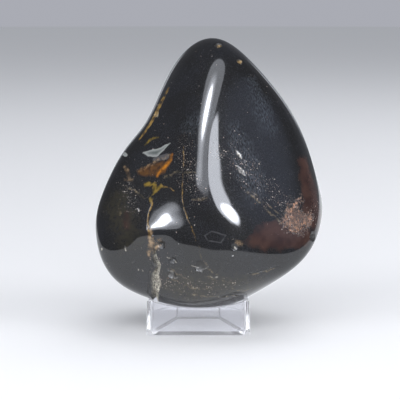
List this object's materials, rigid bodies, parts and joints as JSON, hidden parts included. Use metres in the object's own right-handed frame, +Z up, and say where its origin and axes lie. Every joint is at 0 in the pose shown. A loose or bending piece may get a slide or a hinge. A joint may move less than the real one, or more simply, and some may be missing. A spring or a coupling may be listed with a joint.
{
  "type": "black onyx",
  "caption": "Polished black onyx freeform, an upright rounded stone with a blunt peak and a druzy crack, resting on a small clear square stand.",
  "frame": {"origin": "centre of the overall box in plan, on the surface that the stand rests on", "axes": "+Z up through the stone's peak, +X to the right across its width, -Y towards the viewer of the polished front"},
  "size_m": [0.0635, 0.0416, 0.0801],
  "materials": {
    "stone": "polished",
    "stand": "clear, glossy"
  },
  "bodies": {
    "root": {"stone": "stone", "stand": "stand"}
  },
  "joints": []
}
